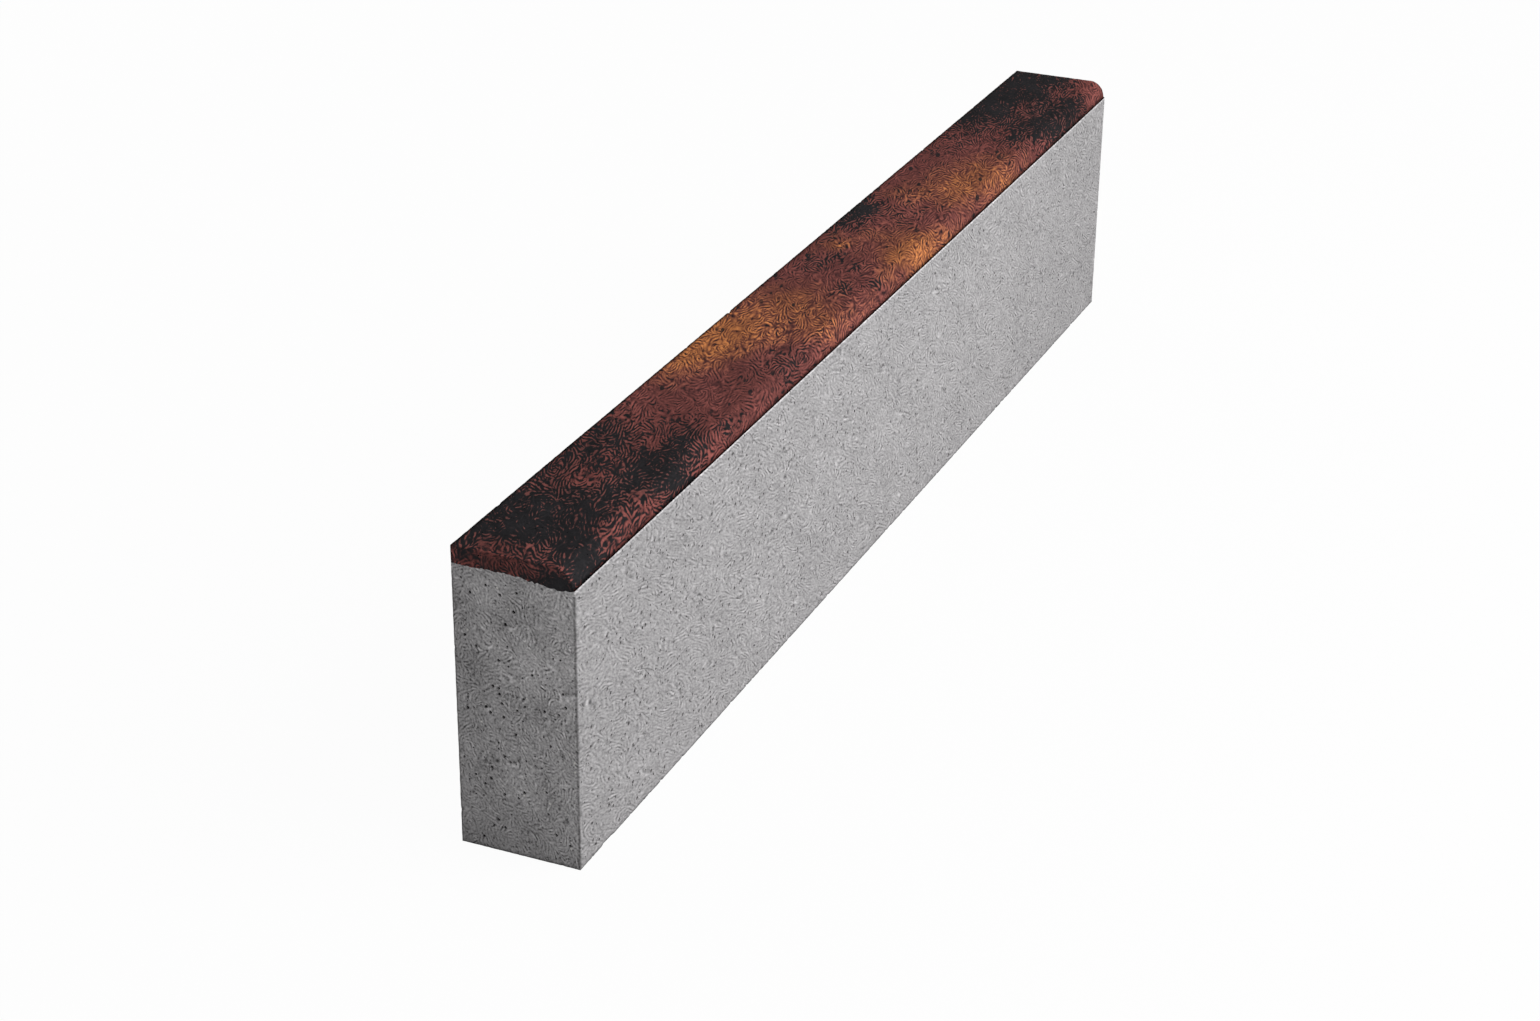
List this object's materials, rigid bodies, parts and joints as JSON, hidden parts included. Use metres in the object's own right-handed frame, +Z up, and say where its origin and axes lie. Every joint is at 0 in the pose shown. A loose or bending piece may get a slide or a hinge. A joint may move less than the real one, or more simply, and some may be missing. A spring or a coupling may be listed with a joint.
{
  "type": "concrete kerb stone",
  "caption": "Straight pressed concrete kerb stone with a rounded top edge on the road side and a thin coloured facing layer over its grey base.",
  "frame": {"origin": "centre of the underside, the face that is bedded in the ground", "axes": "+X along the kerb, +Y from the road side, which has the rounded top edge, to the pavement side, +Z up"},
  "size_m": [1, 0.08, 0.2],
  "materials": {
    "base_concrete": "matte",
    "face_concrete": "matte"
  },
  "bodies": {
    "root": {"base_concrete": "base_concrete", "face_concrete": "face_concrete"}
  },
  "joints": []
}
